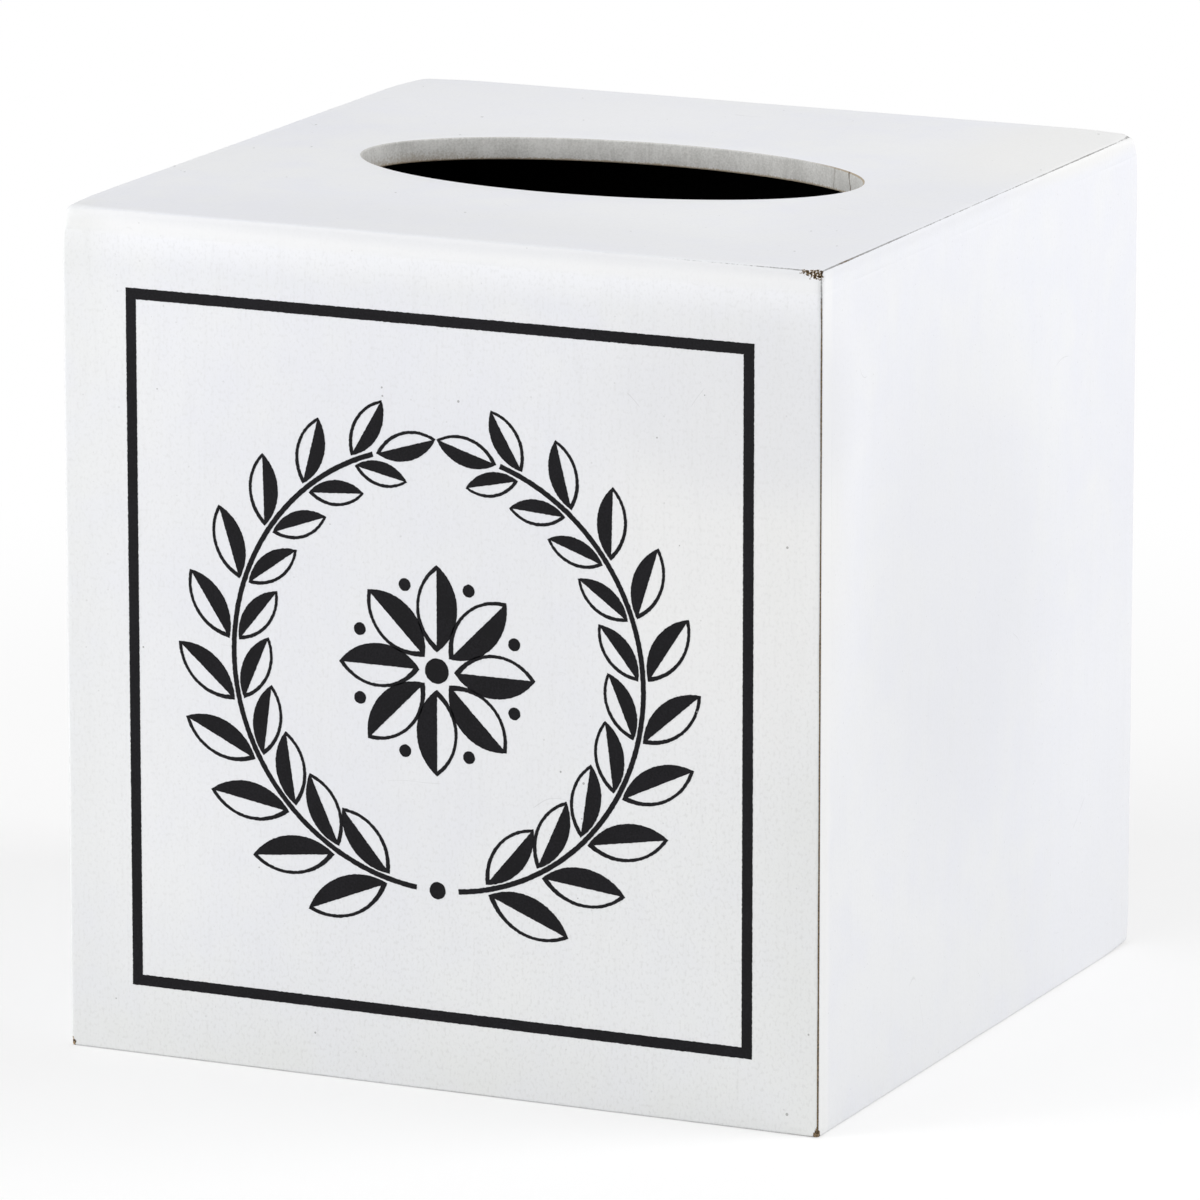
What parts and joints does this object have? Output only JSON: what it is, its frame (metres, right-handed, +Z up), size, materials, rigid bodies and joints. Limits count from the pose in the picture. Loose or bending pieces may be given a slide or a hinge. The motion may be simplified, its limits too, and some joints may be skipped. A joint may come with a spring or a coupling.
{
  "type": "tissue box cover",
  "caption": "White painted fibreboard cube cover that drops over an upright tissue box, open below, with an oval opening on top, worn edges and a printed border and wreath on the front.",
  "frame": {"origin": "middle of the footprint, on the surface that the cover stands on", "axes": "+Z up, -Y out of the printed front, +X to the right of someone who faces the front"},
  "size_m": [0.14, 0.1401, 0.147],
  "materials": {
    "painted_board": "matt white paint over fibreboard, sanded through at the edges",
    "pin_wire": "bright drawn wire",
    "black_ink": "matt black screen-print ink"
  },
  "bodies": {
    "root": {"top_panel": "painted_board", "front_panel": "painted_board", "back_panel": "painted_board", "left_panel": "painted_board", "right_panel": "painted_board", "top_pins": "pin_wire", "front_pins": "pin_wire", "back_pins": "pin_wire", "printed_border": "black_ink", "printed_wreath": "black_ink"}
  },
  "joints": []
}
